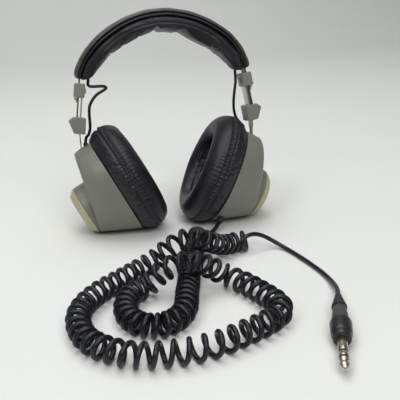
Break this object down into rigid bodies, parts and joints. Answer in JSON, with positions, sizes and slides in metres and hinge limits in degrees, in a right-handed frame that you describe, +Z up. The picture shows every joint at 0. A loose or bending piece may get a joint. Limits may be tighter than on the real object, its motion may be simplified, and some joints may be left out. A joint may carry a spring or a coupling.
{
  "type": "over-ear headphones",
  "caption": "Over-ear stereo headphones: padded headband on sliding strips, two tilting cups with ring cushions, and a curly cord ending in a jack plug.",
  "frame": {"origin": "centre of the headset's footprint box on the surface that it stands on, without its cord", "axes": "+X from the left cup to the right cup, +Y towards the back of the head, +Z up"},
  "size_m": [0.1959, 0.3144, 0.1893],
  "materials": {
    "olive_shell": "moulded olive-grey plastic, fine texture",
    "cream_cap": "moulded cream plastic, satin",
    "black_vinyl": "black vinyl, soft grain",
    "black_plastic": "black moulded plastic",
    "grey_plastic": "dark grey moulded plastic",
    "rubber": "black PVC jacket",
    "foam": "dark grille foam",
    "steel": "nickel-plated spring steel",
    "dark_steel": "darkened spring steel strip",
    "nickel": "bright nickel plating",
    "ferrite": "dark sintered ferrite"
  },
  "bodies": {
    "right_cup": {"cord_gland": "rubber", "cord_lead_out": "rubber", "cord_tail": "rubber", "curly_cord": "rubber", "plug_body": "grey_plastic", "plug_collar": "black_plastic", "plug_insulator_1": "black_plastic", "plug_insulator_2": "black_plastic", "plug_ring": "nickel", "plug_sleeve": "nickel", "plug_strain_relief": "rubber", "plug_tip": "nickel", "right_baffle": "black_plastic", "right_baffle_screw_1": "steel", "right_baffle_screw_2": "steel", "right_baffle_screw_3": "steel", "right_baffle_screw_4": "steel", "right_cushion": "black_vinyl", "right_diaphragm": "black_plastic", "right_driver_frame": "black_plastic", "right_driver_magnet": "ferrite", "right_end_cap": "cream_cap", "right_grille_pad": "foam", "right_lead_grommet": "rubber", "right_pivot_pin": "steel", "right_shell": "olive_shell"},
    "right_stirrup": {"right_click_spring": "steel", "right_lead_lower": "rubber", "right_lead_upper": "rubber", "right_stirrup_strip": "steel", "right_upper_block": "olive_shell", "right_upper_rivet": "steel"},
    "headband": {"cover_top": "black_vinyl", "headband_pad": "black_vinyl", "left_lower_block": "olive_shell", "left_lower_rivet": "steel", "right_lower_block": "olive_shell", "right_lower_rivet": "steel", "spring_band": "dark_steel"},
    "left_stirrup": {"left_click_spring": "steel", "left_lead_lower": "rubber", "left_lead_upper": "rubber", "left_stirrup_strip": "steel", "left_upper_block": "olive_shell", "left_upper_rivet": "steel"},
    "left_cup": {"left_baffle": "black_plastic", "left_baffle_screw_1": "steel", "left_baffle_screw_2": "steel", "left_baffle_screw_3": "steel", "left_baffle_screw_4": "steel", "left_cushion": "black_vinyl", "left_diaphragm": "black_plastic", "left_driver_frame": "black_plastic", "left_driver_magnet": "ferrite", "left_end_cap": "cream_cap", "left_grille_pad": "foam", "left_lead_grommet": "rubber", "left_pivot_pin": "steel", "left_shell": "olive_shell"}
  },
  "joints": [
    {"name": "right_tilt", "type": "hinge", "parent": "right_cup", "child": "right_stirrup", "pos_m": [0.07561, 0.0041, 0.06908], "axis": [0, 0.9833, -0.1822], "range_deg": [-3, 20], "deforming": ["right_lead_lower"]},
    {"name": "right_slide", "type": "slide", "parent": "right_stirrup", "child": "headband", "axis": [-0.1564, 0.18, 0.9711], "range_m": [0, 0.012], "deforming": ["right_lead_upper"]},
    {"name": "left_slide", "type": "slide", "parent": "headband", "child": "left_stirrup", "axis": [-0.1564, -0.18, -0.9711], "range_m": [0, 0.012], "deforming": ["left_lead_upper"]},
    {"name": "left_tilt", "type": "hinge", "parent": "left_stirrup", "child": "left_cup", "pos_m": [-0.07561, 0.0041, 0.06908], "axis": [0, 0.9833, -0.1822], "range_deg": [-3, 20], "deforming": ["left_lead_lower"]}
  ]
}
